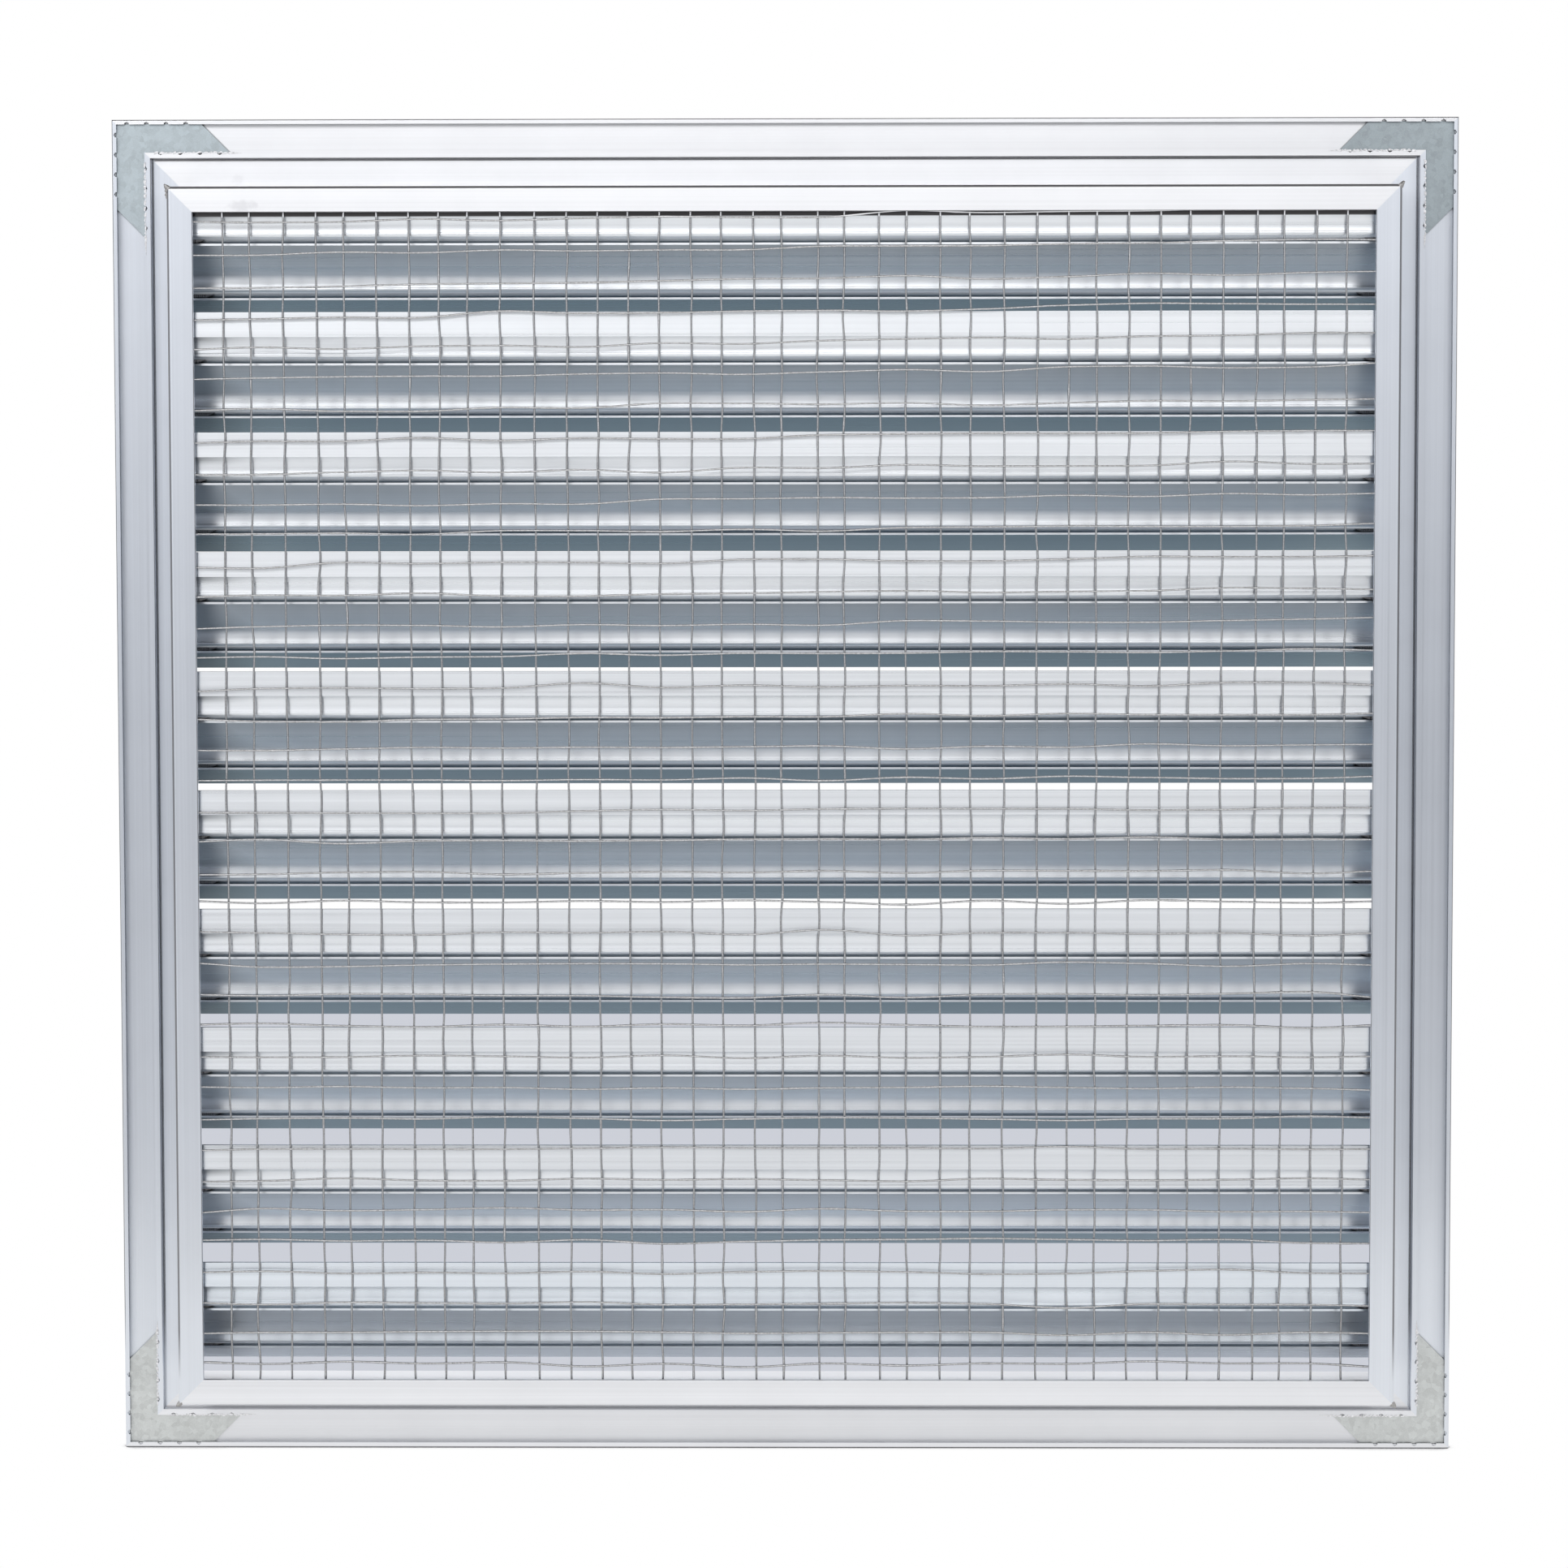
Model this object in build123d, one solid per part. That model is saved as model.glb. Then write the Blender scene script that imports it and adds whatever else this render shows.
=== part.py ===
from build123d import *

import math
import os

# Gable vent: a mitred aluminium frame with fixed louvre blades and a wire cloth screen.
# Millimetres. +Z is up, +Y points outdoors and +X is to the right of someone indoors.
# The origin is the centre of the wall opening, on the plane of the wall's outer face.

# Frame
sleeve_width = 499.0  # outside width of the sleeve that goes through the wall
sleeve_height = 499.0
sleeve_depth = 38.0  # from the wall's outer face to the indoor end
sleeve_wall = 1.6
flange_width = 29.9
flange_plate = 1.8
screen_lip_reach = 10.5  # inward lip at the indoor end, measured from the sleeve's outside
screen_lip_thickness = 1.5
sleeve_edge_radius = 1.5
front_edge_radius = 0.8

# Key track on the wall side of the flange
rim_width = 1.5
rim_height = 2.6
track_width = 12.5
track_lip_width = 2.1
hook_reach = 0.4
hook_thickness = 0.8
seal_groove_width = 0.9
seal_groove_depth = 0.9
track_edge_radius = 0.35
rim_edge_radius = 0.6

# Corner keys
key_leg = 37.0  # along the outer edge, from the corner of the flange
key_thickness = 1.2
key_clearance = 0.15
stake_count = 4  # dents along each edge of a leg that hold the key down
stake_pitch = 8.2
stake_width = 1.9
stake_sides = 6
stake_from_corner = 6.3  # first dent, measured from the corner of the track

# Wire cloth
wire_diameter = 1.0
wire_sides = 8
wire_pitch = 12.7
cloth_rise = 2.5  # height of the cloth's centre above the frame's centre
cloth_edge_gap = 1.5  # left free inside the sleeve, all round
cloth_play = 0.2

# Louvre blades
blade_spacing_limit = 48.8
blade_top_gap = 0.4
blade_sill_gap = 6.3
blade_setback = 1.6  # from the flange's outdoor face
blade_lip_height = 10.0
blade_thickness = 1.3
web_angle = 47.4  # slope below the horizontal

# Screw ports, along the web and above its underside
port_bore_radius = 1.45
port_arm = 0.85
port_height = 1.9
port_from_lip = 10.8
port_from_edge = 14.6
port_mouth_upper = 45.0
port_mouth_lower = 47.0
cove_length = 6.1
cove_height = 3.06
groove_width = 0.35  # fine line between the cove and the nose
groove_depth = 0.3
nose_radius = 1.5
nose_turn = 91.0

# Jamb screws
screw_clearance = 0.1
screw_hole_clearance = 0.45
screw_grip = 12.0
screw_point = 2.5
screw_point_taper = 20.0
screw_sides = 6  # of a shank and its hole
screw_head_sides = 8
screw_head_radius = 3.4
screw_head_height = 1.0
screw_head_taper = 50.0

# Sizes that follow
overall_width = sleeve_width + 2 * flange_width
overall_height = sleeve_height + 2 * flange_width
track_floor = rim_height
outdoor_face = track_floor + flange_plate
indoor_face = -sleeve_depth
inner_width = sleeve_width - 2 * sleeve_wall
inner_height = sleeve_height - 2 * sleeve_wall
cloth_back = indoor_face + screen_lip_thickness + 2 * wire_diameter
blade_face = cloth_back + cloth_play
blade_run = outdoor_face - blade_setback - blade_face
web_slope = math.radians(web_angle)
web_length = blade_run / math.cos(web_slope)
blade_rise = blade_lip_height + web_length * math.sin(web_slope)
port_stations = (port_from_lip, web_length - port_from_edge)
blade_travel = inner_height - blade_top_gap - blade_sill_gap - blade_rise
blade_count = math.ceil(blade_travel / blade_spacing_limit) + 1
blade_spacing = blade_travel / (blade_count - 1)
blade_tops = [inner_height / 2 - blade_top_gap - n * blade_spacing for n in range(blade_count)]


def soften(section, corners, radius):
    """Round the corners of a section that lie at the given points."""
    for corner in corners:
        nearest = section.vertices().sort_by_distance(corner)[0]
        section = fillet(nearest, radius)
    return section


def rod(diameter, length, sides):
    """Many-sided rod along Z, centred on the origin, with a flat towards X."""
    section = RegularPolygon(diameter / 2, sides, major_radius=False, rotation=180 / sides)
    return extrude(section, length / 2, both=True)


def frame_section():
    """Section of the frame: distance in from the flange's edge, then distance outdoors."""
    sleeve_inside = flange_width + sleeve_wall
    lip_edge = flange_width + screen_lip_reach
    lip_back = indoor_face + screen_lip_thickness
    track_end = rim_width + track_width
    track_lip_end = track_end + track_lip_width
    groove_end = track_lip_end + seal_groove_width
    groove_floor = track_floor + seal_groove_depth
    outline = Polyline(
        (0, outdoor_face),
        (sleeve_inside, outdoor_face),
        (sleeve_inside, lip_back),
        (lip_edge, lip_back),
        (lip_edge, indoor_face),
        (flange_width, indoor_face),
        (flange_width, track_floor),
        (groove_end, track_floor),
        (groove_end, groove_floor),
        (track_lip_end, groove_floor),
        (track_lip_end, 0),
        (track_end - hook_reach, 0),
        (track_end - hook_reach, hook_thickness),
        (track_end, hook_thickness),
        (track_end, track_floor),
        (rim_width, track_floor),
        (rim_width, hook_thickness),
        (rim_width + hook_reach, hook_thickness),
        (rim_width + hook_reach, 0),
        (0, 0),
        close=True,
    )
    section = make_face(outline)
    section = soften(section, [(flange_width, indoor_face)], sleeve_edge_radius)
    section = soften(section, [(0, outdoor_face), (sleeve_inside, outdoor_face)], front_edge_radius)
    section = soften(section, [(0, 0)], rim_edge_radius)
    track_edges = [(track_lip_end, 0), (lip_edge, indoor_face)]
    return soften(section, track_edges, track_edge_radius)


def frame_bar(length, half_span):
    """Top bar of a frame: its flange edge lies at half_span and both ends are mitred."""
    across = Plane((0, 0, half_span), x_dir=(0, 0, -1), z_dir=(1, 0, 0))
    bar = extrude(across * frame_section(), length / 2, both=True)
    inset = flange_width + screen_lip_reach
    mitre = Polyline(
        (-length / 2, half_span),
        (length / 2, half_span),
        (length / 2 - inset, half_span - inset),
        (-length / 2 + inset, half_span - inset),
        close=True,
    )
    bar &= extrude(Plane.XZ * make_face(mitre), sleeve_depth + outdoor_face, both=True)
    return bar - stakes(length, half_span)


def stakes(length, half_span):
    """Dents in both hooks of the track, over the keys at the two ends of a top bar."""
    dent = Rot(90, 0, 0) * rod(stake_width, 2 * hook_thickness, stake_sides)
    track_end = rim_width + track_width
    dents = []
    for corner, hook_edge in ((0, rim_width + hook_reach), (track_end, track_end - hook_reach)):
        for number in range(stake_count):
            x = length / 2 - corner - stake_from_corner - number * stake_pitch
            z = half_span - hook_edge
            dents += [Pos(-x, 0, z) * dent, Pos(x, 0, z) * dent]
    return dents


def screw_places():
    """Where the screws enter the side walls, as (Y, Z)."""
    places = []
    for top in blade_tops:
        for station in port_stations:
            port = on_web(station, port_height)
            places.append((blade_face + port.X, top + port.Y))
    return places


def side_bar(turn):
    """Left or right bar, with a clearance hole for every screw."""
    bar = Rot(0, turn, 0) * frame_bar(overall_height, overall_width / 2)
    hole_radius = port_bore_radius + screw_hole_clearance
    side = math.copysign(1, turn)
    for y, z in screw_places():
        middle = side * (sleeve_width - sleeve_wall) / 2
        bar -= Pos(middle, y, z) * Rot(0, 90, 0) * rod(2 * hole_radius, 2 * sleeve_wall, screw_sides)
    return bar


def corner_key(side, level):
    """Flat L key on the track's floor, with ends cut at 45 degrees."""
    outer = rim_width + key_clearance
    inner = rim_width + track_width - key_clearance
    leg_end = key_leg + inner - outer
    insets = [
        (outer, outer),
        (key_leg, outer),
        (leg_end, inner),
        (inner, inner),
        (inner, leg_end),
        (outer, key_leg),
    ]
    corners = [(side * (overall_width / 2 - a), level * (overall_height / 2 - b)) for a, b in insets]
    plate = make_face(Polyline(*corners, close=True))
    return Pos(0, track_floor, 0) * extrude(Plane.XZ * plate, key_thickness)


def on_web(along, above):
    """Blade section point: along the web from the lip's foot, and above its underside."""
    outdoors = along * math.cos(web_slope) - above * math.sin(web_slope)
    height = -blade_lip_height - along * math.sin(web_slope) - above * math.cos(web_slope)
    return Vector(outdoors, height)


def port_outline(station):
    """Underside of one screw port, from the start of its cove to the foot of its lower arm."""
    cove_at = station - port_from_lip

    def around(radius, degrees):
        angle = math.radians(degrees)
        return on_web(station + radius * math.sin(angle), port_height + radius * math.cos(angle))

    cove_start = on_web(cove_at, 0)
    cove_end = on_web(cove_at + cove_length, cove_height)
    cove = TangentArc(cove_start, cove_end, tangent=on_web(1, 0) - on_web(0, 0))
    bend = 1 if turns_left(cove) else -1
    onward = cove % 1
    inward = onward.rotate(Axis.Z, -90 * bend)
    nose_start = cove_end + onward * groove_width
    groove = Polyline(
        cove_end,
        cove_end + inward * groove_depth,
        nose_start + inward * groove_depth,
        nose_start,
    )
    nose = JernArc(nose_start, onward, nose_radius, -bend * nose_turn)
    bore = ThreePointArc(
        around(port_bore_radius, -port_mouth_upper),
        around(port_bore_radius, 180),
        around(port_bore_radius, port_mouth_lower),
    )
    arm_radius = port_bore_radius + port_arm
    foot_angle = 90 + math.degrees(math.asin(port_height / arm_radius))
    arm = ThreePointArc(
        around(arm_radius, port_mouth_lower),
        around(arm_radius, (port_mouth_lower + foot_angle) / 2),
        around(arm_radius, foot_angle),
    )
    return [cove, groove, nose, Line(nose @ 1, bore @ 0), bore, Line(bore @ 1, arm @ 0), arm]


def turns_left(arc):
    """True where an arc in the section plane bends to the left as it goes."""
    return (arc % 0).cross(arc % 1).Z > 0


def blade_section():
    """Section of a louvre blade: upright lip, sloping web and two screw ports below it."""
    lip_top = Vector(0, 0)
    lip_foot = on_web(0, 0)
    web_edge = on_web(web_length, 0)
    web_edge_top = on_web(web_length, -blade_thickness)
    bend = blade_thickness * (1 - math.sin(web_slope)) / math.cos(web_slope)
    lip_back_foot = on_web(bend, -blade_thickness)
    lip_back_top = Vector(blade_thickness, 0)
    edges = [Line(lip_top, lip_foot)]
    reached = lip_foot
    for station in port_stations:
        port = port_outline(station)
        if (port[0] @ 0 - reached).length > 1e-6:
            edges.append(Line(reached, port[0] @ 0))
        edges += port
        reached = port[-1] @ 1
    edges.append(Line(reached, web_edge))
    edges.append(Line(web_edge, web_edge_top))
    edges.append(Line(web_edge_top, lip_back_foot))
    edges.append(Line(lip_back_foot, lip_back_top))
    edges.append(Line(lip_back_top, lip_top))
    return make_face(edges)


def louvre_blade():
    """One blade across the sleeve, its lip's top edge at the origin."""
    return extrude(Plane.YZ * blade_section(), inner_width / 2, both=True)


def wire_places(centre, low, high):
    """Places of the wires on a grid about a centre, kept between two limits."""
    first = math.ceil((low - centre) / wire_pitch)
    last = math.floor((high - centre) / wire_pitch)
    return [centre + n * wire_pitch for n in range(first, last + 1)]


def wire_cloth():
    """Welded cloth behind the screen lip: cross wires indoors, upright wires behind them."""
    half_width = inner_width / 2 - cloth_edge_gap
    half_height = inner_height / 2 - cloth_edge_gap
    radius = wire_diameter / 2
    upright_y = cloth_back - radius
    cross_y = upright_y - wire_diameter
    upright = rod(wire_diameter, 2 * half_height, wire_sides)
    cross = Rot(0, 90, 0) * rod(wire_diameter, 2 * half_width, wire_sides)
    upright_places = wire_places(0, radius - half_width, half_width - radius)
    wires = [Pos(x, upright_y, 0) * upright for x in upright_places]
    cross_centre = cloth_rise + wire_pitch / 2
    cross_levels = wire_places(cross_centre, radius - half_height, half_height - radius)
    wires += [Pos(0, cross_y, z) * cross for z in cross_levels]
    return Compound(wires)


def jamb_screw():
    """Low-head screw along +Z, with the seat of its head at the origin."""
    shank_diameter = 2 * (port_bore_radius - screw_clearance)
    shank_length = sleeve_wall + screw_grip - screw_point
    shank = RegularPolygon(shank_diameter / 2, screw_sides)
    point = extrude(Pos(0, 0, shank_length) * shank, screw_point, taper=screw_point_taper)
    seat = RegularPolygon(screw_head_radius, screw_head_sides)
    head = Rot(180, 0, 0) * extrude(seat, screw_head_height, taper=screw_head_taper)
    return head + extrude(shank, shank_length) + point


def jamb_screws(side):
    """All screws of one side, with their heads on the outside of the sleeve."""
    screw = Rot(0, -90 * side, 0) * jamb_screw()
    return Compound([Pos(side * sleeve_width / 2, y, z) * screw for y, z in screw_places()])


nodes = {
    "frame_top": frame_bar(overall_width, overall_height / 2),
    "frame_bottom": Rot(0, 180, 0) * frame_bar(overall_width, overall_height / 2),
    "frame_left": side_bar(-90),
    "frame_right": side_bar(90),
    "wire_cloth": wire_cloth(),
    "jamb_screws_left": jamb_screws(-1),
    "jamb_screws_right": jamb_screws(1),
}
for level_name, level in (("top", 1), ("bottom", -1)):
    for side_name, side in (("left", -1), ("right", 1)):
        nodes[f"corner_key_{level_name}_{side_name}"] = corner_key(side, level)
blade = louvre_blade()
for number, top in enumerate(blade_tops, start=1):
    nodes[f"louvre_blade_{number:02d}"] = Pos(0, blade_face, top) * blade

os.makedirs("parts", exist_ok=True)
for name, shape in nodes.items():
    export_step(shape, f"parts/{name}.step")
print("overall", overall_width, overall_height, "depth", sleeve_depth + outdoor_face)
print("blades", blade_count, "spacing", round(blade_spacing, 3), "web", round(web_length, 2))
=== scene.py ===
import math
import random

import bmesh
import bpy
from mathutils import Matrix, Vector, noise


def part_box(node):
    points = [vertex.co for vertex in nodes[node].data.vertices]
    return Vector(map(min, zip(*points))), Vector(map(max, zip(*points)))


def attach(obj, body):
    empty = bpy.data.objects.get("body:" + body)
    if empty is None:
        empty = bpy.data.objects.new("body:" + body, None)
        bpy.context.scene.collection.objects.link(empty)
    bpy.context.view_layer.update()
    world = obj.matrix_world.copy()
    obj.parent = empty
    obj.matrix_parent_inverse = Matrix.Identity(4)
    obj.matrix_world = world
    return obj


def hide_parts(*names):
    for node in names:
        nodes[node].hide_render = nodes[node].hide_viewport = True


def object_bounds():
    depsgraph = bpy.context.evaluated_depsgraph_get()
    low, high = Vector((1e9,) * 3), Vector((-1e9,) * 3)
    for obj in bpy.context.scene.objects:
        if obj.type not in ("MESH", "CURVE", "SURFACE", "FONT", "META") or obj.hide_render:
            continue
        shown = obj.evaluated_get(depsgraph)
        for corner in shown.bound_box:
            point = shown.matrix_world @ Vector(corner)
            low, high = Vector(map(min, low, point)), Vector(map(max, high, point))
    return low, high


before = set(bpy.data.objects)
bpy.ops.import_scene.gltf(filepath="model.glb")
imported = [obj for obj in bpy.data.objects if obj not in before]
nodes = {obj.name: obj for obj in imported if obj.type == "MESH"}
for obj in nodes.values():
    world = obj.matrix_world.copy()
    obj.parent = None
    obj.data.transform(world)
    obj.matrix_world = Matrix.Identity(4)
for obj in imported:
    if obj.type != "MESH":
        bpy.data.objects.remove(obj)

cad_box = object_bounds()

MM = 0.001
SIDES = ((-1, "left"), (1, "right"))
CORNERS = ((-1, 1), (1, 1), (-1, -1), (1, -1))  # side and level of each mitre

# Sizes read from the frame, in metres
half_width = cad_box[1].x
half_height = cad_box[1].z
floor_level = cad_box[0].z
indoor_face = cad_box[0].y
cloth_low, cloth_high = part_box("wire_cloth")
cloth_middle = (cloth_low.y + cloth_high.y) / 2
wire_radius = (cloth_high.y - cloth_low.y) / 4
blade_low, blade_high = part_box("louvre_blade_01")
blade_face = blade_low.y
inner_half = blade_high.x
lip_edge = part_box("frame_top")[0].z

# Sizes of the frame's section, as distances in from the flange's edge
rim_edge = 1.9 * MM
track_edge = 13.6 * MM
track_lip_end = 16.1 * MM
sleeve_edge = 29.9 * MM
key_leg = 37.0 * MM

# Wire cloth
wire_pitch = 12.7 * MM
wire_steps = 3  # points along a wire for each pitch
wire_sides = 6
upright_stray = 0.75 * MM
most_stray = 1.6  # in steps of upright_stray
cross_stray = 0.3 * MM
kink = 0.22 * MM
cross_wave = 0.55 * MM
cloth_skew = 3.6 * MM  # rise of the upper wires at the right-hand side
wire_share = (0.78, 0.86)  # of the CAD wire's radius
lump_share = 0.22  # added where zinc has gathered
lump_from = 0.95  # draws above this make a lump
weld_share = (0.95, 1.25)
weld_flatness = 0.85

# Jamb screws: rings of (distance from the head's top, radius, depth of the recess's four lobes)
head_height = 1.0 * MM
head_rings = (
    (0.6 * MM, 0.7 * MM, 0.4 * MM),
    (0.02 * MM, 1.55 * MM, 1.1 * MM),
    (0.0, 1.75 * MM, 0.0),
    (0.18 * MM, 2.5 * MM, 0.0),
    (0.55 * MM, 3.15 * MM, 0.0),
    (0.85 * MM, 3.38 * MM, 0.0),
    (head_height, 3.4 * MM, 0.0),
)
head_sides = 24
thread_sides = 12
thread_radius = 1.3 * MM
thread_depth = 0.32 * MM
thread_pitch = 0.9 * MM
point_length = 2.5 * MM
point_radii = (0.75 * MM, 0.25 * MM)

# Crimped track lips: ranges of the chips' sizes, and their depth
chip_length = (0.7 * MM, 2.6 * MM)
chip_reach = (0.15 * MM, 0.6 * MM)
chip_root = (0.35 * MM, 0.85 * MM)
chip_rise = (0.05 * MM, 0.17 * MM)
chip_gap = (0.0, 0.5 * MM)
chip_depth = 0.75 * MM
smear_length = (5.0 * MM, 7.5 * MM)
smear_rise = 0.06 * MM
smear_depth = 0.7 * MM

# Burrs at the mitres, with their distances from the sleeve's edge and its indoor face
burr_inset = 0.9 * MM
burr_depth = 1.1 * MM
lump_inset = 0.3 * MM
lump_depth = 1.5 * MM
burr_stretch = (2.4 * MM, 1.0 * MM, 1.1 * MM)
burr_lumps = ((1.6 * MM, 1.1 * MM), (3.2 * MM, 1.0 * MM), (4.3 * MM, 0.75 * MM))  # drop, radius

# Places at which the looks change, in metres
bottom_bar_zone = (floor_level + 40 * MM, floor_level + 60 * MM)
lowest_blade_zone = (floor_level + 74.4 * MM, floor_level + 89.4 * MM)
low_rows = (0.0, -200 * MM)
jamb_zone = (-inner_half, 40 * MM - inner_half)
port_zone_start = (blade_face + 4.8 * MM, blade_face + 6.3 * MM)
port_zone_end = (blade_face + 6.3 * MM, blade_face + 21.3 * MM)
under_lip_zone = (lip_edge - 1.9 * MM, lip_edge - 1.4 * MM)
wire_tip_highlight_zone = (lip_edge - 2.2 * MM, lip_edge - 1.6 * MM)
frame_hollows = (1.0 * MM, 0.5, 0.8)  # reach, and the openness at which the painted shade in hollows is darkest and at which it ends
blade_hollows = (2.5 * MM, 0.15, 0.4)
sill_hollows = (1.5 * MM, 0.15, 0.4)

# Colours of marks, tones, painted shade and a painted highlight, as linear red, green and blue
SMUDGE = (0.45, 0.45, 0.48)
EDGE_SHADE = (0.12, 0.115, 0.12)
HOLLOW_SHADE = (0.04, 0.037, 0.04)
TOPSIDE = (0.29, 0.345, 0.395)
LOW_TOPSIDE = (0.52, 0.58, 0.64)
BLADE_SHADE = (0.05, 0.06, 0.065)
LIP_SHADE = (0.03, 0.025, 0.025)
SPECK = (0.09, 0.09, 0.1)
SCREW_SHADE = (0.1, 0.1, 0.105)
DARKER_WIRE = (0.16, 0.16, 0.165)
WIRE_TIP_HIGHLIGHT = (0.9, 0.9, 0.91)
FLOOR_SHADE = (0.61, 0.63, 0.69)

# Soft marks on the top bar: centre, size and strength
top_marks = (
    ((60.9 * MM - half_width, indoor_face, half_height - 38.2 * MM), (8 * MM, 6 * MM, 3 * MM), 0.3),
    ((51.9 * MM - half_width, 2.6 * MM, half_height - 24.9 * MM), (4 * MM, 6 * MM, 2.5 * MM), 0.15),
)

# Floor and its shade, in metres
floor_half = 1.6
floor_front = -0.45
floor_back = 6.0
floor_gap = 0.2 * MM
contact_reach = 9 * MM
shade_half = 0.262
shade_spread = 0.195  # growth of shade_half for each metre behind the vent
shade_start = 0.02
shade_fade = (0.9, 1.35)

# Lamp and room
lamp_at = (-0.1, -1.81, 1.17)
lamp_target = (0, 0, 0)
lamp_width = 1.8
lamp_height = 0.6
lamp_level = 2.5
room_level = 2.0

# Camera, fitted to the corners of the frame in a picture of 1932 x 1932 pixels
camera_at = Vector((0.0111, -1.3523, 0.1691))
camera_pitch = -2.62
camera_yaw = 0.478
camera_roll = 0.094
camera_lens = 74.53
camera_sensor = 36.0
camera_shift = -0.16


class Nodes:
    """Adds shader nodes to a node tree and joins their sockets."""

    def __init__(self, tree):
        self.tree = tree

    def new(self, kind, inputs=None, **settings):
        node = self.tree.nodes.new("ShaderNode" + kind)
        for key, value in settings.items():
            setattr(node, key, value)
        for key, value in (inputs or {}).items():
            self.put(node.inputs[key], value)
        return node

    def put(self, socket, value):
        """Join a socket to an output or set its value; a colour has three values."""
        if isinstance(value, bpy.types.NodeSocket):
            self.tree.links.new(value, socket)
        elif socket.type == "RGBA":
            socket.default_value = (*value, 1.0)
        else:
            socket.default_value = value

    def math(self, operation, *values):
        node = self.new("Math", operation=operation)
        for socket, value in zip(node.inputs, values):
            self.put(socket, value)
        return node.outputs[0]

    def product(self, first, *others):
        for other in others:
            first = self.math("MULTIPLY", first, other)
        return first

    def vector(self, operation, first, second):
        return self.new("VectorMath", {0: first, 1: second}, operation=operation).outputs["Vector"]

    def parts(self, vector):
        """X, Y and Z of a vector."""
        return self.new("SeparateXYZ", {"Vector": vector}).outputs

    def blend(self, factor, first, second, how="MIX"):
        node = self.new("Mix", data_type="RGBA", blend_type=how)
        self.put(node.inputs["Factor"], factor)
        for name, value in (("A", first), ("B", second)):
            socket = next(s for s in node.inputs if s.name == name and s.type == "RGBA")
            self.put(socket, value)
        return next(s for s in node.outputs if s.type == "RGBA")

    def remap(self, value, low, high, to_low, to_high, curve="LINEAR"):
        inputs = {"Value": value, "From Min": low, "From Max": high, "To Min": to_low, "To Max": to_high}
        return self.new("MapRange", inputs, interpolation_type=curve).outputs["Result"]

    def ramp(self, value, stops):
        node = self.new("ValToRGB", {"Fac": value})
        elements = node.color_ramp.elements
        while len(elements) < len(stops):
            elements.new(0.5)
        for element, (place, colour) in zip(elements, stops):
            element.position = place
            element.color = (*colour, 1.0)
        return node.outputs["Color"]

    def noise(self, place, scale, detail=2.0, roughness=0.5):
        inputs = {"Vector": place, "Scale": scale, "Detail": detail, "Roughness": roughness}
        return self.new("TexNoise", inputs).outputs["Fac"]

    def stretched(self, place, scale):
        return self.new("Mapping", {"Vector": place, "Scale": scale}).outputs["Vector"]

    def openness(self, reach):
        """How open a point's surroundings are: 1 in the open, less in a hollow."""
        return self.new("AmbientOcclusion", {"Distance": reach}, samples=8).outputs["AO"]


def grey(level):
    return (level, level, level)


def new_material(name):
    """A material with its node helper, its shader and the place on the object in metres."""
    material = bpy.data.materials.new(name)
    material.use_nodes = True
    g = Nodes(material.node_tree)
    place = g.new("TexCoord").outputs["Object"]
    return material, g, material.node_tree.nodes["Principled BSDF"], place


def finish_metal(g, shader, colour, roughness, relief, strength, depth):
    """Join a metal's colour, roughness and relief to its shader."""
    bump = g.new("Bump", {"Height": relief, "Strength": strength, "Distance": depth})
    g.put(shader.inputs["Base Color"], colour)
    g.put(shader.inputs["Roughness"], roughness)
    g.put(shader.inputs["Normal"], bump.outputs["Normal"])
    g.put(shader.inputs["Metallic"], 1.0)


def smudge(g, place, centre, size, strength):
    """A soft mark around a point: 0 away from it, up to strength on it."""
    offset = g.vector("SUBTRACT", place, centre)
    scaled = g.vector("MULTIPLY", offset, [1 / s for s in size])
    reach = g.new("VectorMath", {0: scaled}, operation="LENGTH").outputs["Value"]
    cloud = g.noise(place, 260.0, 4.0, 0.6)
    ragged = g.math("ADD", reach, g.remap(cloud, 0.3, 0.7, -0.45, 0.45))
    return g.remap(ragged, 0.25, 1.1, strength, 0.0, "SMOOTHSTEP")


def die_lines(g, place, along, colour):
    """Height of the fine lines along an extrusion, and its colour with lines, bands and clouds."""
    line_scale = [900.0, 900.0, 900.0]
    line_scale[along] = 1.5
    lines = g.noise(g.stretched(place, line_scale), 1.0, 3.0, 0.65)
    band_scale = [140.0, 140.0, 140.0]
    band_scale[along] = 0.7
    bands = g.noise(g.stretched(place, band_scale), 1.0, 1.0)
    clouds = g.noise(place, 24.0, 5.0, 0.6)
    dull = [c * 0.93 for c in colour]
    toned = g.blend(g.remap(lines, 0.3, 0.7, 0.0, 1.0), dull, colour)
    for pattern, darkest in ((bands, 0.95), (clouds, 0.96)):
        tone = g.ramp(pattern, ((0.3, grey(darkest)), (0.7, grey(1.0))))
        toned = g.blend(1.0, toned, tone, "MULTIPLY")
    return lines, toned


def paint_edge_shade(g, toned, facing, level):
    """Painted shade on the edges of the frame that turn away from indoors, except on the bottom bar."""
    edge = g.product(
        g.remap(facing, -0.97, -0.9, 0.0, 1.0),
        g.remap(facing, -0.12, -0.02, 1.0, 0.0),
        g.remap(level, *bottom_bar_zone, 0.0, 0.8),
    )
    return g.blend(edge, toned, EDGE_SHADE)


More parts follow.
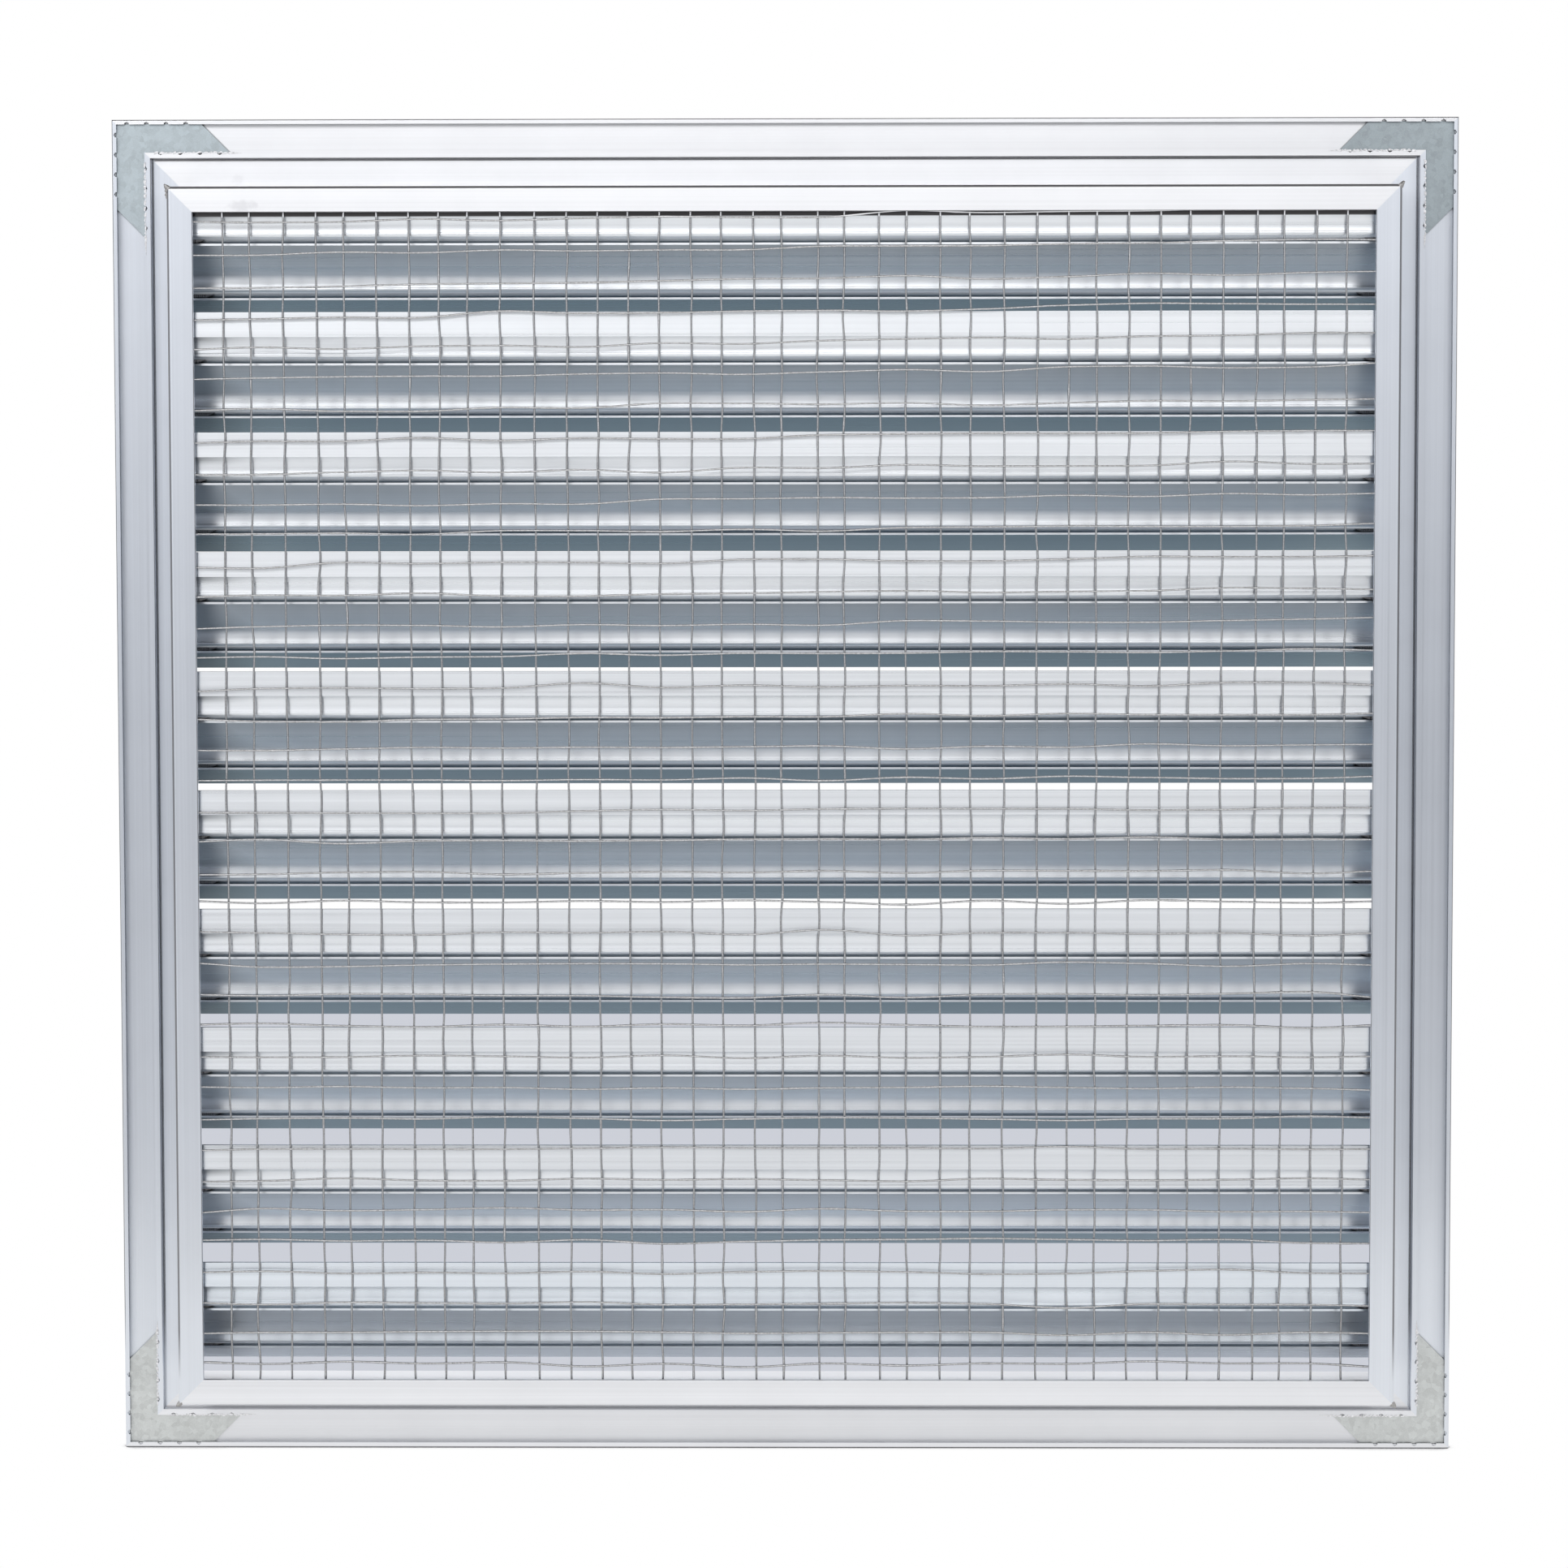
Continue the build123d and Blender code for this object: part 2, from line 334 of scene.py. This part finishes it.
def paint_blade_shade(g, toned, place, upward, tone_from, tone_colour):
    """Darker topsides, less dark on the low rows, a darker tone outdoors, and painted shade on the
    undersides by the left jamb and at the ports.
    """
    sideways, outdoors, level = g.parts(place)
    low = g.remap(level, *low_rows, 0.0, 1.0)
    topside = g.blend(low, TOPSIDE, LOW_TOPSIDE)
    toned = g.blend(g.remap(upward, 0.3, 0.6, 0.0, 1.0), toned, topside)
    outdoor_tone = g.remap(outdoors, tone_from, tone_from + 0.4 * MM, 0.0, 1.0)
    toned = g.blend(outdoor_tone, toned, tone_colour)
    # Painted shade on the undersides by the left jamb and behind the ports
    by_jamb = g.remap(sideways, *jamb_zone, 0.5, 0.0, "SMOOTHERSTEP")
    by_port = g.product(
        g.remap(outdoors, *port_zone_end, 0.45, 0.0),
        g.remap(outdoors, *port_zone_start, 0.0, 1.0),
    )
    dim = g.product(
        g.math("MAXIMUM", by_jamb, by_port),
        g.remap(upward, -0.5, -0.2, 1.0, 0.0),
        g.remap(level, *lowest_blade_zone, 0.1, 1.0),
    )
    return g.blend(dim, toned, BLADE_SHADE)


def aluminium(name, along, colour, roughness, hollows, marks=(), outdoor_tone=None, under_lip=False):
    """Mill-finish aluminium with die lines along one axis: 0 for X, 2 for Z.

    Hollows get painted shade. Blades have a darker tone outdoors, given as the depth from which it
    starts and its colour, with darker topsides and painted shade on the undersides by the left jamb and
    at the ports. Frame bars have none of these, and their turned edges get painted shade. What is under
    the lip gets painted shade from the frame's upper lip.
    """
    material, g, shader, place = new_material(name)
    lines, toned = die_lines(g, place, along, colour)
    for centre, size, strength in marks:
        toned = g.blend(smudge(g, place, centre, size, strength), toned, SMUDGE)
    normal = g.new("NewGeometry").outputs["Normal"]
    _, facing, upward = g.parts(normal)
    level = g.parts(place)["Z"]
    if outdoor_tone:
        toned = paint_blade_shade(g, toned, place, upward, *outdoor_tone)
        hollow_dark = 0.8
    else:
        toned = paint_edge_shade(g, toned, facing, level)
        hollow_dark = g.remap(level, *bottom_bar_zone, 0.2, 0.8)
    if under_lip:
        shade = g.remap(level, *under_lip_zone, 0.0, 0.93, "SMOOTHSTEP")
        toned = g.blend(shade, toned, LIP_SHADE)
    # Painted shade in hollows, weaker on the bottom bar of the frame
    reach, darkest, unshaded = hollows
    hollow = g.remap(g.openness(reach), darkest, unshaded, hollow_dark, 0.0)
    toned = g.blend(hollow, toned, HOLLOW_SHADE)
    gloss = g.remap(lines, 0.3, 0.7, roughness - 0.05, roughness + 0.05)
    finish_metal(g, shader, toned, gloss, lines, 0.12, 0.1 * MM)
    g.put(shader.inputs["Anisotropic"], 0.85)
    axis = [0.0, 0.0, 0.0]
    axis[along] = 1.0
    g.put(shader.inputs["Tangent"], g.vector("CROSS_PRODUCT", normal, axis))
    return material


def galvanised(name, colour):
    """Zinc-coated sheet: fine spangle in small cells with scratchy flecks that cross."""
    material, g, shader, place = new_material(name)
    cells = g.new("TexVoronoi", {"Vector": place, "Scale": 520.0, "Randomness": 1.0}, feature="F1")
    cell_tone = g.new("SeparateColor", {"Color": cells.outputs["Color"]}).outputs[0]
    slant = (0.0, math.radians(38), 0.0)
    turned = g.new("Mapping", {"Vector": place, "Rotation": slant}).outputs["Vector"]
    flecks = g.noise(g.stretched(turned, (4600.0, 1500.0, 1100.0)), 1.0, 2.0, 0.7)
    crossing = g.noise(g.stretched(turned, (1100.0, 1500.0, 4600.0)), 1.0, 2.0, 0.7)
    scratch = g.math("MAXIMUM", flecks, crossing)
    dark = [c * 0.8 for c in colour]
    bright = [min(1.0, c * 1.25) for c in colour]
    toned = g.blend(cell_tone, dark, colour)
    toned = g.blend(g.remap(scratch, 0.54, 0.74, 0.0, 0.45), toned, bright)
    clouds = g.ramp(g.noise(place, 90.0, 3.0), ((0.3, grey(0.92)), (0.7, grey(1.0))))
    toned = g.blend(1.0, toned, clouds, "MULTIPLY")
    gloss = g.remap(cell_tone, 0.0, 1.0, 0.42, 0.58)
    finish_metal(g, shader, toned, gloss, scratch, 0.25, 0.1 * MM)
    return material


def zinc(name, colour, roughness, lump_scale, dirt, dark_within=None, darker_behind=None):
    """Lumpy zinc with darker specks.

    Screws get painted shade within a distance from the middle of the vent, where they reach into the
    blades' ports. Wires are darker behind a depth, and get a painted highlight at their cut upper ends.
    """
    material, g, shader, place = new_material(name)
    lumps = g.noise(place, lump_scale, 4.0, 0.6)
    specks = g.noise(place, lump_scale * 1.7, 2.0, 0.7)
    dark = [c * 0.6 for c in colour]
    toned = g.blend(g.remap(lumps, 0.35, 0.65, 0.0, 1.0), dark, colour)
    toned = g.blend(g.remap(specks, 0.62, 0.72, 0.0, dirt), toned, SPECK)
    # Painted shade on the screws inside the blades' ports
    if dark_within:
        away = g.math("ABSOLUTE", g.parts(place)["X"])
        port_shade = g.remap(away, dark_within - 0.3 * MM, dark_within, 0.96, 0.0)
        toned = g.blend(port_shade, toned, SCREW_SHADE)
    if darker_behind:
        # Wires behind the middle of the cloth, the upright ones, are darker
        _, depth, level = g.parts(place)
        dull = g.remap(depth, darker_behind, darker_behind + 0.2 * MM, 0.0, 0.5)
        toned = g.blend(dull, toned, DARKER_WIRE)
        # Painted highlight at the cut upper ends of the wires
        toned = g.blend(g.remap(level, *wire_tip_highlight_zone, 0.0, 0.8), toned, WIRE_TIP_HIGHLIGHT)
    gloss = g.remap(lumps, 0.3, 0.7, roughness - 0.08, roughness + 0.1)
    finish_metal(g, shader, toned, gloss, lumps, 0.5, 0.15 * MM)
    return material


# Looks of the CAD nodes and of the pieces
# Darker tone on the outdoor part of the blades, lighter on the lowest blade: the depth from which it
# starts and its colour
blade_outdoor_tone = (blade_face + 28.3 * MM, (0.34, 0.41, 0.445))
lowest_blade_outdoor_tone = (blade_face + 37.3 * MM, (0.8, 0.84, 0.87))
frame_level = aluminium(
    "mill aluminium, level bars", 0, (0.88, 0.89, 0.915), 0.38, frame_hollows, marks=top_marks)
frame_upright = aluminium(
    "mill aluminium, upright bars", 2, (0.82, 0.855, 0.91), 0.38, frame_hollows)
blade_metal = aluminium(
    "mill aluminium, louvre blades", 0, (0.9, 0.93, 0.965), 0.31, blade_hollows, outdoor_tone=blade_outdoor_tone)
first_blade_metal = aluminium(
    "mill aluminium, highest blade", 0, (0.9, 0.93, 0.965), 0.31, blade_hollows, outdoor_tone=blade_outdoor_tone,
    under_lip=True)
last_blade_metal = aluminium(
    "mill aluminium, lowest blade", 0, (0.885, 0.94, 1.0), 0.31, sill_hollows, outdoor_tone=lowest_blade_outdoor_tone)
key_upper = galvanised("galvanised sheet, upper keys", (0.5, 0.56, 0.59))
# The upper right key: the upper keys' sheet, darker as painted shade
upper_right_key_shade = galvanised("galvanised sheet, upper right key, painted shade", (0.4, 0.45, 0.475))
key_lower = galvanised("galvanised sheet, lower keys", (0.66, 0.68, 0.67))
wire_zinc = zinc(
    "galvanised wire", (0.66, 0.66, 0.665), 0.36, 1500.0, 0.8, darker_behind=cloth_middle)
screw_zinc = zinc(
    "plated screw steel", (0.66, 0.66, 0.66), 0.3, 900.0, 0.3, dark_within=inner_half + 1.5 * MM)
bruised = zinc("bruised aluminium", (0.9, 0.9, 0.92), 0.35, 1200.0, 0.5)
burr_metal = zinc("burr at the mitres", (0.5, 0.49, 0.48), 0.5, 900.0, 0.6)

lowest_blade = max(name for name in nodes if name.startswith("louvre_blade"))
node_looks = (  # the first name that a node starts with counts
    ("frame_top", frame_level),
    ("frame_bottom", frame_level),
    ("frame_", frame_upright),
    ("louvre_blade_01", first_blade_metal),
    (lowest_blade, last_blade_metal),
    ("louvre_blade", blade_metal),
    ("corner_key_top_right", upper_right_key_shade),
    ("corner_key_top", key_upper),
    ("corner_key", key_lower),
    ("wire_cloth", wire_zinc),
    ("jamb_screws", screw_zinc),
)
for name in nodes:
    slots = nodes[name].data.materials
    slots.clear()
    slots.append(next(look for start, look in node_looks if name.startswith(start)))


def add_piece(name, builder, material):
    """Make a mesh piece that rides on the one body."""
    mesh = bpy.data.meshes.new(name)
    builder.to_mesh(mesh)
    builder.free()
    piece = bpy.data.objects.new(name, mesh)
    bpy.context.scene.collection.objects.link(piece)
    mesh.materials.append(material)
    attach(piece, "root")
    return piece


def loft(builder, rings):
    """A closed skin over rings of points, with a cap at each end."""
    rings = [[builder.verts.new(point) for point in ring] for ring in rings]
    for low, high in zip(rings, rings[1:]):
        for k in range(len(low)):
            following = (k + 1) % len(low)
            builder.faces.new((low[k], low[following], high[following], high[k]))
    builder.faces.new(list(reversed(rings[0])))
    builder.faces.new(rings[-1])


def smooth(values, at):
    """Value of a smooth line through evenly spaced values, at a place counted in steps."""
    left = min(int(at), len(values) - 2)
    t = at - left
    before = values[max(left - 1, 0)]
    start, end = values[left], values[left + 1]
    after = values[min(left + 2, len(values) - 1)]
    slope_in, slope_out = (end - before) / 2, (after - start) / 2
    bend = t * t * (3 - 2 * t)
    lean = (1 - t) * slope_in - t * slope_out
    return start + (end - start) * bend + t * (1 - t) * lean * 0.5


def add_wire(builder, chance, path, across, out):
    """A tube along a path that runs nearly straight, thicker where zinc has gathered.

    The directions across and out span the section.
    """
    radii = []
    for _ in path:
        lump = lump_share if chance.random() > lump_from else 0.0
        radii.append(wire_radius * (chance.uniform(*wire_share) + lump))
    turns = [math.tau * k / wire_sides for k in range(wire_sides)]
    spokes = [math.cos(turn) * across + math.sin(turn) * out for turn in turns]
    loft(builder, [[point + radius * s for s in spokes] for point, radius in zip(path, radii)])


def add_welds(builder, chance, places):
    """A flattened bead of zinc at each place."""
    template = bmesh.new()
    bmesh.ops.create_icosphere(template, subdivisions=1, radius=1.0)
    bead = [vert.co.copy() for vert in template.verts]
    bead_faces = [[vert.index for vert in face.verts] for face in template.faces]
    template.free()
    for place in places:
        size = wire_radius * chance.uniform(*weld_share)
        stretch = Matrix.Diagonal((size, size * weld_flatness, size, 1.0))
        fitted = Matrix.Translation(place) @ stretch
        corners = [builder.verts.new(fitted @ point) for point in bead]
        for face in bead_faces:
            builder.faces.new([corners[k] for k in face])


def wire_cloth():
    """The welded cloth with its strayed, wavy wires and a weld at every crossing."""
    chance = random.Random(21)
    builder = bmesh.new()
    width = cloth_high.x - cloth_low.x
    height = cloth_high.z - cloth_low.z
    upright_y = cloth_high.y - wire_radius
    cross_y = cloth_low.y + wire_radius
    across_count = int((width - 2 * wire_radius) / wire_pitch) + 1
    first_x = -(across_count - 1) / 2 * wire_pitch
    cross_levels = [v.co.z for v in nodes["wire_cloth"].data.vertices if v.co.y < cross_y]
    mesh_low, mesh_high = min(cross_levels), max(cross_levels)
    cross_count = round((mesh_high - mesh_low) / wire_pitch) + 1
    first_z = (mesh_low + mesh_high - (cross_count - 1) * wire_pitch) / 2

    upright_lines = []
    for i in range(across_count):
        stray = max(-most_stray, min(most_stray, chance.gauss(0, 1))) * upright_stray
        kinks = [chance.gauss(0, kink) for _ in range(cross_count + 2)]
        upright_lines.append((first_x + i * wire_pitch + stray, kinks))
    cross_lines = []
    for j in range(cross_count):
        stray = chance.gauss(0, cross_stray)
        waves = [chance.gauss(0, cross_wave) for _ in range(across_count // 3 + 3)]
        cross_lines.append((first_z + j * wire_pitch + stray, waves))

    def upright_x(line, z):
        x, kinks = line
        return x + smooth(kinks, (z - cloth_low.z) / height * (len(kinks) - 1))

    def cross_z(line, x):
        level, waves = line
        wave = smooth(waves, (x - cloth_low.x) / width * (len(waves) - 1))
        rise = min(1.0, max(0.0, 0.25 + level / half_height))
        z = level + wave + cloth_skew * rise * x / half_width
        return min(max(z, cloth_low.z + wire_radius), cloth_high.z - wire_radius)

    along_x, along_y, along_z = Vector((1, 0, 0)), Vector((0, 1, 0)), Vector((0, 0, 1))
    upright_points = cross_count * wire_steps
    for line in upright_lines:
        levels = [cloth_low.z + height * k / upright_points for k in range(upright_points + 1)]
        path = [Vector((upright_x(line, z), upright_y, z)) for z in levels]
        add_wire(builder, chance, path, along_x, along_y)
    cross_points = across_count * wire_steps
    for line in cross_lines:
        places = [cloth_low.x + width * k / cross_points for k in range(cross_points + 1)]
        path = [Vector((x, cross_y, cross_z(line, x))) for x in places]
        add_wire(builder, chance, path, along_y, along_z)

    welds = []
    for upright in upright_lines:
        for cross in cross_lines:
            z = cross_z(cross, upright[0])
            welds.append((upright_x(upright, z), (upright_y + cross_y) / 2, z))
    add_welds(builder, chance, welds)
    for face in builder.faces:
        face.smooth = True
    cloth = add_piece("welded_wire_cloth", builder, wire_zinc)
    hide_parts("wire_cloth")


def islands(node):
    """Box of every separate solid in a CAD node, from the lowest up."""
    builder = bmesh.new()
    builder.from_mesh(nodes[node].data)
    bmesh.ops.remove_doubles(builder, verts=builder.verts, dist=0.001 * MM)
    left = set(builder.verts)
    boxes = []
    while left:
        waiting = [left.pop()]
        corners = []
        while waiting:
            vert = waiting.pop()
            corners.append(vert.co.copy())
            for edge in vert.link_edges:
                other = edge.other_vert(vert)
                if other in left:
                    left.remove(other)
                    waiting.append(other)
        boxes.append(tuple(Vector(f(c[k] for c in corners) for k in range(3)) for f in (min, max)))
    builder.free()
    return sorted(boxes, key=lambda box: box[0].z)


def add_turned(builder, rings, place, sides, turn):
    """A closed turned form along Z from rings of (height, radius, depth of four lobes)."""
    loops = []
    for height, radius, lobes in rings:
        loop = []
        for k in range(sides):
            angle = math.tau * k / sides
            reach = radius - lobes * math.sin(2 * angle) ** 2
            spoke = turn + angle
            point = Vector((reach * math.cos(spoke), reach * math.sin(spoke), height))
            loop.append(place @ point)
        loops.append(loop)
    loft(builder, loops)


def jamb_screws(side, side_name):
    """Low round-head screws with a cross recess and a cut thread, in the place of the CAD screws."""
    node = f"jamb_screws_{side_name}"
    chance = random.Random(31 + side)
    builder = bmesh.new()
    facing = Matrix.Rotation(math.radians(-90 * side), 4, "Y")
    for low, high in islands(node):
        centre = (low + high) / 2
        length = high.x - low.x
        outer = low.x if side < 0 else high.x
        place = Matrix.Translation((outer, centre.y, centre.z)) @ facing
        turn = chance.random() * math.tau
        add_turned(builder, head_rings, place, head_sides, turn)
        thread = [(head_height, thread_radius, 0.0)]
        for k in range(1, int((length - head_height - point_length) / thread_pitch * 2)):
            groove = 0.0 if k % 2 else thread_depth
            thread.append((head_height + k * thread_pitch / 2, thread_radius - groove, 0.0))
        thread.append((length - point_length / 2, point_radii[0], 0.0))
        thread.append((length, point_radii[1], 0.0))
        add_turned(builder, thread, place, thread_sides, turn)
    screws = add_piece(f"low_head_screws_{side_name}", builder, screw_zinc)
    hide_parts(node)


def corner_point(side, level, upright, along, inward, y):
    """Point near a corner: along a leg of its key, in from the flange's edge, at a depth y."""
    a, b = (inward, along) if upright else (along, inward)
    return Vector((side * (half_width - a), y, level * (half_height - b)))


def add_crimps(builder, chance, side, level, upright):
    """Ragged metal where the inner lip of the track was pressed over a key, and the smear after it."""
    def add_chip(outline, low_y, high_y):
        loft(builder, [[corner_point(side, level, upright, a, b, y) for a, b in outline]
                       for y in (low_y, high_y)])

    at = track_lip_end + 1.5 * MM
    end = key_leg + track_edge - rim_edge
    while at < end:
        length = chance.uniform(*chip_length)
        reach = chance.uniform(*chip_reach)
        root = chance.uniform(*chip_root)
        rise = chance.uniform(*chip_rise)
        outline = [
            (at, track_edge + root),
            (at + 0.15 * length, track_edge - reach * chance.random()),
            (at + 0.55 * length, track_edge - reach),
            (at + 0.9 * length, track_edge - reach * chance.random()),
            (at + length, track_edge + root * chance.random()),
        ]
        add_chip(outline, -rise, chip_depth)
        at += length + chance.uniform(*chip_gap)
    smear = chance.uniform(*smear_length)
    outline = [
        (end, track_edge + 0.7 * MM),
        (end, track_edge - 0.25 * MM),
        (end + 0.4 * smear, track_edge - 0.15 * MM),
        (end + smear, track_edge + 0.35 * MM),
    ]
    add_chip(outline, -smear_rise, smear_depth)


def track_crimps():
    """The crimps at both legs of every key."""
    chance = random.Random(5)
    builder = bmesh.new()
    for side, level in CORNERS:
        for upright in (False, True):
            add_crimps(builder, chance, side, level, upright)
    bmesh.ops.recalc_face_normals(builder, faces=builder.faces)
    add_piece("crimped_track_lips", builder, bruised)


def add_burr(builder, chance, side, level):
    """Bead of metal left at the sleeve's outer corner, drawn out along the mitre."""
    inset = sleeve_edge + burr_inset
    centre = corner_point(side, level, False, inset, inset, indoor_face + burr_depth)
    slant = Matrix.Rotation(-side * level * math.radians(45), 4, "Y")
    place = Matrix.Translation(centre) @ slant @ Matrix.Diagonal((*burr_stretch, 1.0))
    made = bmesh.ops.create_icosphere(builder, subdivisions=3, radius=1.0)
    for vert in made["verts"]:
        seed = Vector((side * 3.1, level * 5.3, chance.random() * 0.1))
        swell = 1.0 + 0.35 * noise.noise(vert.co * 1.6 + seed)
        vert.co = place @ (vert.co * swell)


def mitre_burrs():
    """A burr at each corner of the sleeve, with lumps below the one at the upper left."""
    chance = random.Random(9)
    builder = bmesh.new()
    for side, level in CORNERS:
        add_burr(builder, chance, side, level)
    for drop, radius in burr_lumps:
        place = corner_point(
            -1, 1, True, sleeve_edge + drop, sleeve_edge + lump_inset, indoor_face + lump_depth)
        lump = bmesh.ops.create_icosphere(builder, subdivisions=3, radius=radius)
        for vert in lump["verts"]:
            vert.co = place + vert.co * (1.0 + 0.3 * noise.noise(vert.co / MM + place / MM))
    for face in builder.faces:
        face.smooth = True
    add_piece("mitre_burrs", builder, burr_metal)


def floor_material():
    """White, with the shade behind the vent and a soft contact shadow that the camera sees."""
    material, g, shader, place = new_material("white floor")
    x, y, _ = g.parts(place)
    reach = g.math("MULTIPLY_ADD", y, shade_spread, shade_half)
    across = g.math("DIVIDE", g.math("ABSOLUTE", x), reach)
    shade = g.product(
        g.remap(across, 0.94, 1.03, 1.0, 0.0, "SMOOTHSTEP"),
        g.remap(y, 0.0, shade_start, 0.0, 1.0, "SMOOTHSTEP"),
        g.remap(y, *shade_fade, 1.0, 0.0, "SMOOTHSTEP"),
    )
    tone = g.blend(shade, grey(1.0), FLOOR_SHADE)
    darkness = g.ramp(g.openness(contact_reach), (
        (0.5, (0.12, 0.12, 0.13)),
        (0.56, (0.45, 0.45, 0.46)),
        (0.66, (0.92, 0.92, 0.93)),
        (0.8, grey(1.0)),
    ))
    shadowed = g.blend(1.0, tone, darkness, "MULTIPLY")
    shown = g.new("Emission", {"Color": shadowed, "Strength": 1.0}).outputs[0]
    mirrored = g.new("Emission", {"Color": tone, "Strength": 1.0}).outputs[0]
    lit = g.new("BsdfDiffuse", {"Color": grey(0.8)}).outputs[0]
    path = g.new("LightPath").outputs
    reflected = g.math("MAXIMUM", path["Is Glossy Ray"], path["Is Transmission Ray"])
    mix = g.new("MixShader", {0: reflected, 1: lit, 2: mirrored}).outputs[0]
    mix = g.new("MixShader", {0: path["Is Camera Ray"], 1: mix, 2: shown}).outputs[0]
    g.put(material.node_tree.nodes["Material Output"].inputs["Surface"], mix)
    material.node_tree.nodes.remove(shader)
    return material


def build_floor():
    """Floor just below the vent."""
    level = floor_level - floor_gap
    corners = [
        (-floor_half, floor_front, level),
        (floor_half, floor_front, level),
        (floor_half, floor_back, level),
        (-floor_half, floor_back, level),
    ]
    mesh = bpy.data.meshes.new("floor")
    mesh.from_pydata(corners, [], [(0, 1, 2, 3)])
    floor = bpy.data.objects.new("floor", mesh)
    bpy.context.scene.collection.objects.link(floor)
    mesh.materials.append(floor_material())


def build_world():
    """Studio room for the light, and white for the camera.

    In front there is a room with a dark band below eye level between pale panels left and right,
    and behind a pale wall. The ceiling is dark. Heights run from 0 straight down to 1 straight up.
    """
    world = bpy.data.worlds.new("studio")
    bpy.context.scene.world = world
    world.use_nodes = True
    g = Nodes(world.node_tree)
    x, y, z = g.parts(g.new("TexCoord").outputs["Generated"])
    height = g.remap(z, -1.0, 1.0, 0.0, 1.0)
    ahead = g.ramp(height, (
        (0.34, grey(0.5)),
        (0.38, (0.42, 0.42, 0.43)),
        (0.41, (0.12, 0.12, 0.125)),
        (0.47, (0.16, 0.16, 0.165)),
        (0.53, (0.46, 0.46, 0.47)),
        (0.7, grey(0.5)),
        (0.8, grey(0.36)),
        (0.9, (0.06, 0.055, 0.055)),
        (1.0, grey(0.04)),
    ))
    panels = g.ramp(height, (
        (0.34, (0.5, 0.5, 0.51)),
        (0.38, (0.46, 0.465, 0.475)),
        (0.42, (0.4, 0.41, 0.43)),
        (0.48, (0.46, 0.47, 0.49)),
        (0.53, (0.68, 0.69, 0.71)),
        (0.72, (0.6, 0.61, 0.63)),
        (0.82, grey(0.1)),
        (1.0, grey(0.04)),
    ))
    back = g.ramp(height, (
        (0.0, (0.3, 0.31, 0.33)),
        (0.5, (0.5, 0.51, 0.53)),
        (0.55, (0.75, 0.75, 0.76)),
        (0.8, (0.75, 0.75, 0.76)),
        (0.92, (0.2, 0.2, 0.21)),
        (1.0, grey(0.05)),
    ))
    sideways = g.math("ABSOLUTE", x)
    beside = g.remap(sideways, 0.27, 0.48, 0.0, 1.0, "SMOOTHSTEP")
    edge = g.product(
        g.remap(sideways, 0.8, 0.92, 1.0, 0.2),
        g.remap(sideways, 0.4, 0.65, 1.0, 1.3),
    )
    edge_tone = g.new("CombineColor", {0: edge, 1: edge, 2: edge}).outputs[0]
    front = g.blend(1.0, g.blend(beside, ahead, panels), edge_tone, "MULTIPLY")
    room = g.blend(g.remap(y, -0.25, 0.25, 0.0, 1.0, "SMOOTHSTEP"), front, back)
    level = g.remap(x, -0.6, 0.6, 1.08 * room_level, 0.86 * room_level)
    lit = g.new("VectorMath", {0: room, "Scale": level}, operation="SCALE").outputs["Vector"]
    camera_ray = g.new("LightPath").outputs["Is Camera Ray"]
    background = world.node_tree.nodes["Background"]
    g.put(background.inputs["Color"], g.blend(camera_ray, lit, grey(1.0)))


def build_lamp():
    """Softbox above the camera that faces the vent and shows an even level of brightness."""
    lamp = bpy.data.lights.new("key softbox", "AREA")
    lamp.shape = "RECTANGLE"
    lamp.size = lamp_width
    lamp.size_y = lamp_height
    lamp.energy = 4 * lamp_level * lamp_width * lamp_height
    holder = bpy.data.objects.new("key softbox", lamp)
    holder.location = lamp_at
    aim = Vector(lamp_target) - Vector(lamp_at)
    holder.rotation_euler = aim.to_track_quat("-Z", "Y").to_euler()
    holder.visible_camera = False
    bpy.context.scene.collection.objects.link(holder)


def build_camera():
    """Camera at the photograph's viewing angle."""
    data = bpy.data.cameras.new("camera")
    data.lens = camera_lens
    data.sensor_width = camera_sensor
    data.shift_y = camera_shift
    camera = bpy.data.objects.new("camera", data)
    camera.location = camera_at
    angles = (90 + camera_pitch, camera_roll, camera_yaw)
    camera.rotation_euler = [math.radians(angle) for angle in angles]
    bpy.context.scene.collection.objects.link(camera)
    bpy.context.scene.camera = camera


wire_cloth()
for side, side_name in SIDES:
    jamb_screws(side, side_name)
track_crimps()
mitre_burrs()
build_floor()
build_world()
build_lamp()
build_camera()
bpy.context.scene.view_settings.view_transform = "Standard"
